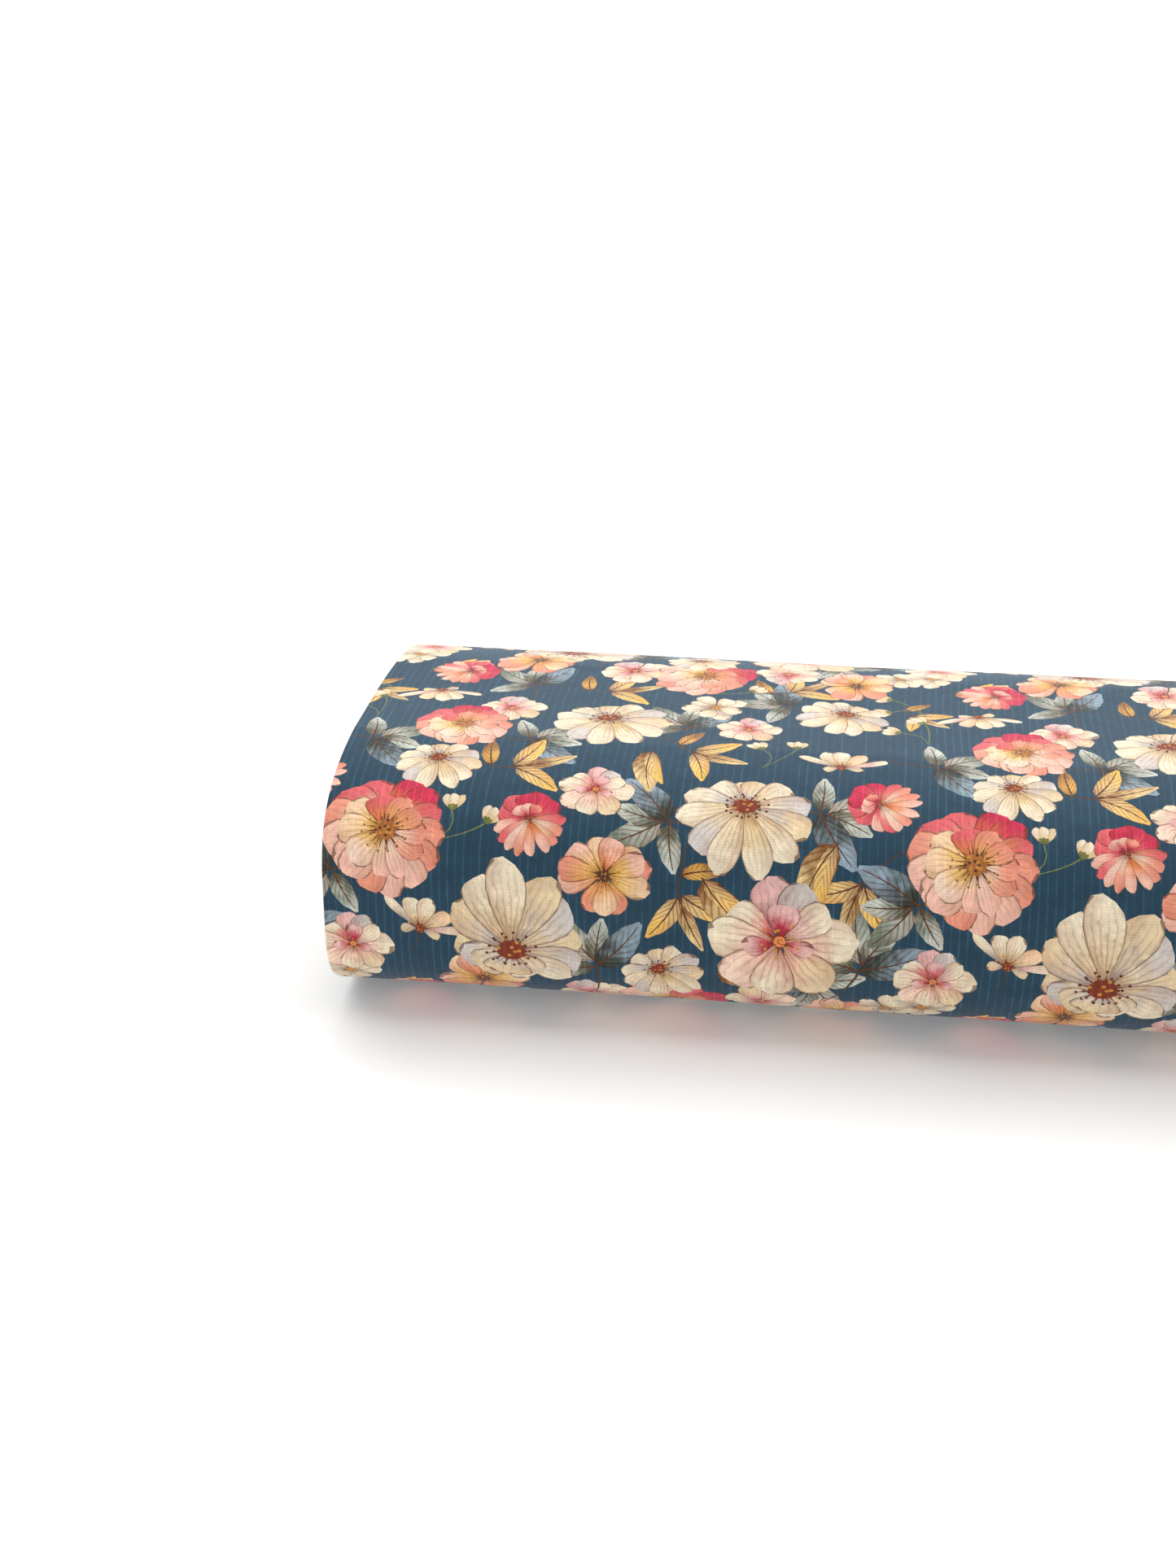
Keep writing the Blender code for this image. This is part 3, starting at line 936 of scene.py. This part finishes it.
    height = calc(tree, "MULTIPLY_ADD", rib, 1.0, calc(tree, "MULTIPLY", stitch, 0.30))
    height = calc(tree, "MULTIPLY_ADD", fine, 0.35, height)
    bump = put(tree, "Bump", {"Strength": 0.55, "Distance": 0.0004, "Height": height})
    tree.links.new(bump.outputs[0], shader.inputs["Normal"])
    shader.inputs["Roughness"].default_value = 0.82
    shader.inputs["Specular IOR Level"].default_value = 0.25
    shader.inputs["Sheen Weight"].default_value = 0.20
    shader.inputs["Sheen Roughness"].default_value = 0.45
    shader.inputs["Sheen Tint"].default_value = (0.80, 0.88, 1.0, 1.0)
    return material


def cloth_edges():
    """The turns underneath, which show as printed folds at the left end and as raw edges at the right one.

    Each turn's colours follow the length of the cloth, so no two turns that lie together match."""
    material, tree, shader = new_material("cloth_edges")
    place = put(tree, "TexCoord").outputs["Object"]
    parts = put(tree, "SeparateXYZ", {0: place})
    uv = put(tree, "SeparateXYZ", {0: put(tree, "UVMap", uv_map="cloth").outputs[0]})
    run = put(tree, "CombineXYZ", {1: uv.outputs[1]}).outputs[0]
    flowers = ramped(tree, noise(tree, run, 34.0, 1.0, 0.4), 0.50, 0.53)
    tone = noise(tree, put(tree, "CombineXYZ", {0: 9.0, 1: uv.outputs[1]}).outputs[0], 52.0, 1.0, 0.4)
    fine = noise(tree, place, 1400.0, 2.0, 0.6)
    warm = mixed(tree, ramped(tree, tone, 0.40, 0.46), (*SHADED, 1.0), (*CREAM, 1.0))
    petals = mixed(tree, ramped(tree, tone, 0.54, 0.60), warm, (*CORAL, 1.0))
    printed = mixed(tree, flowers, (*GROUND, 1.0), petals)
    raw = mixed(tree, ramped(tree, tone, 0.42, 0.60), (*UNPRINTED, 1.0), (*REVERSE, 1.0))
    colour = mixed(tree, ramped(tree, parts.outputs[0], 0.30, 0.33), printed, raw)
    shade = calc(tree, "MULTIPLY_ADD", fine, 0.5, 0.75)
    colour = mixed(tree, 1.0, colour, shade_colour(tree, shade), "MULTIPLY")
    tree.links.new(colour, shader.inputs["Base Color"])
    bump = put(tree, "Bump", {"Strength": 0.4, "Distance": 0.0003, "Height": fine})
    tree.links.new(bump.outputs[0], shader.inputs["Normal"])
    shader.inputs["Roughness"].default_value = 0.9
    shader.inputs["Sheen Weight"].default_value = 0.15
    return material


def brown_card():
    material, tree, shader = new_material("brown_card")
    place = put(tree, "TexCoord").outputs["Object"]
    drawn_out = put(tree, "Mapping", {"Vector": place, "Scale": (1.0, 3.0, 3.0)}).outputs[0]
    fibres = noise(tree, drawn_out, 900.0, 4.0, 0.7)
    clouds = noise(tree, place, 30.0, 3.0, 0.6)
    colour = mixed(tree, ramped(tree, fibres, 0.3, 0.7), (*CARD_DARK, 1.0), (*CARD_LIGHT, 1.0))
    shade = calc(tree, "MULTIPLY_ADD", clouds, 0.3, 0.85)
    colour = mixed(tree, 1.0, colour, shade_colour(tree, shade), "MULTIPLY")
    tree.links.new(colour, shader.inputs["Base Color"])
    bump = put(tree, "Bump", {"Strength": 0.3, "Distance": 0.0002, "Height": fibres})
    tree.links.new(bump.outputs[0], shader.inputs["Normal"])
    shader.inputs["Roughness"].default_value = 0.85
    return material


def label_paper():
    material, tree, shader = new_material("label_paper")
    place = put(tree, "TexCoord").outputs["Object"]
    fibres = noise(tree, place, 1500.0, 3.0, 0.6)
    colour = mixed(tree, fibres, (*PAPER_DARK, 1.0), (*PAPER_LIGHT, 1.0))
    tree.links.new(colour, shader.inputs["Base Color"])
    shader.inputs["Roughness"].default_value = 0.6
    return material


PRINTED_KNIT = printed_knit()
CLOTH_EDGES = cloth_edges()
CARD = brown_card()
PAPER = label_paper()


# ---------------------------------------------------------------- the object


def build_cloth():
    """The one length of cloth, as the stretches that show and the wound turns under them."""
    left = -FOLD_MM - UNDER_STRIP
    right = LENGTH_MM + EDGE_MM
    hem = HEM_Y + EDGE_MM
    tail = printed_sheet("cloth_tail_upper_layer", (left, SEAM_Y), (right, hem))
    lining = printed_sheet("cloth_tail_under_layer", (-FOLD_MM - right, SEAM_Y), (left, hem))
    for piece in (tail, lining):
        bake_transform(piece)
    top = printed_sheet("cloth_first_turn_top", (left, TOP_Y), (right, SEAM_Y))
    front = printed_sheet("cloth_first_turn_front", (left, SPLIT_Y), (right, TOP_Y))
    bottom = printed_sheet("cloth_second_turn_bottom", (left, BACK_Y), (right, SPLIT_Y))
    back = printed_sheet("cloth_second_turn_back", (left, UNDER_Y), (right, BACK_Y))
    inner, inner_metres = wound_turns("cloth_wound_turns")
    for piece in (top, front, bottom, back, inner):
        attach(piece, "bolt")
    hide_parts("cloth_tail")
    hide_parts("cloth_outer_turns")
    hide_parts("cloth_inner_turns")


def dress_board():
    for name, material in (
        ("board_sleeve", CARD), ("board_rib_front", CARD), ("board_rib_back", CARD), ("end_flap_left", CARD),
        ("end_flap_right", CARD), ("end_label_left", PAPER), ("end_label_right", PAPER),
    ):
        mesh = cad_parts[name].data
        mesh.materials.clear()
        mesh.materials.append(material)


# ---------------------------------------------------------------- floor, lights, camera


FLOOR_SIZE = 30.0


def glowing(name, strength):
    """A white material that gives off light, for the studio's far surfaces."""
    material, _, shader = new_material(name)
    shader.inputs["Base Color"].default_value = grey(0.8)
    shader.inputs["Emission Color"].default_value = grey(1.0)
    shader.inputs["Emission Strength"].default_value = strength
    return material


def studio_floor():
    """A white floor that brightens far from the object, so that it meets the white surround with no line."""
    material, tree, shader = new_material("floor")
    shader.inputs["Base Color"].default_value = (0.83, 0.83, 0.82, 1.0)
    shader.inputs["Roughness"].default_value = 0.9
    shader.inputs["Emission Color"].default_value = grey(1.0)
    place = put(tree, "TexCoord").outputs["Object"]
    far = put(tree, "VectorMath", {0: place}, operation="LENGTH").outputs["Value"]
    # The floor glows: weakly beside the object, where this glow also lights it, and more strongly far away.
    tree.links.new(ramped(tree, far, 0.9, 3.0, 0.17, 0.9), shader.inputs["Emission Strength"])
    return material


def build_stage():
    """The floor, a glowing sheet behind the object that only lights it, and a surround that is only seen."""
    bpy.ops.mesh.primitive_plane_add(size=FLOOR_SIZE, location=(0, 0, -0.5 * MM))
    floor = bpy.context.object
    floor.name = "floor"
    floor.data.materials.append(studio_floor())
    bpy.ops.mesh.primitive_plane_add(size=FLOOR_SIZE, location=(0, 4.0, 0), rotation=(math.pi / 2, 0, 0))
    backdrop = bpy.context.object
    backdrop.name = "backdrop"
    backdrop.data.materials.append(glowing("backdrop", 0.7))
    backdrop.visible_camera = False
    bpy.ops.mesh.primitive_uv_sphere_add(radius=14.0, location=(0, 0, 0))
    surround = bpy.context.object
    surround.name = "surround"
    surround.data.materials.append(glowing("surround", 1.0))
    surround.visible_diffuse = False
    surround.visible_glossy = False
    surround.visible_transmission = False
    surround.visible_shadow = False


def area_light(name, location, target, size, watts):
    data = bpy.data.lights.new(name, "AREA")
    data.shape = "RECTANGLE"
    data.size, data.size_y = size
    data.energy = watts
    made = bpy.data.objects.new(name, data)
    made.location = location
    made.rotation_euler = (Vector(target) - Vector(location)).to_track_quat("-Z", "Y").to_euler()
    bpy.context.scene.collection.objects.link(made)


def light_scene():
    world = bpy.data.worlds.new("studio")
    bpy.context.scene.world = world
    world.use_nodes = True
    background = world.node_tree.nodes["Background"]
    background.inputs[0].default_value = (0.96, 0.98, 1.0, 1.0)
    background.inputs[1].default_value = 0.50
    area_light("overhead", (0.0, 1.2, 3.2), (0.0, 0.6, 0.0), (7.0, 5.0), 138.0)
    area_light("front_fill", (-0.9, -2.2, 1.3), (0.0, 0.0, 0.06), (1.6, 1.2), 5.0)
    bpy.context.scene.view_settings.view_transform = "Standard"


def add_camera():
    """From above the front, at the left end, so that the right end is out of the picture."""
    data = bpy.data.cameras.new("camera")
    data.lens = 48.9
    data.sensor_width = 36.0
    made = bpy.data.objects.new("camera", data)
    made.location = (-0.1048, -1.100, 0.572)
    made.rotation_euler = (math.radians(66.34), 0.0, math.radians(8.065))
    bpy.context.scene.collection.objects.link(made)
    bpy.context.scene.camera = made


build_cloth()
dress_board()
build_stage()
light_scene()
add_camera()
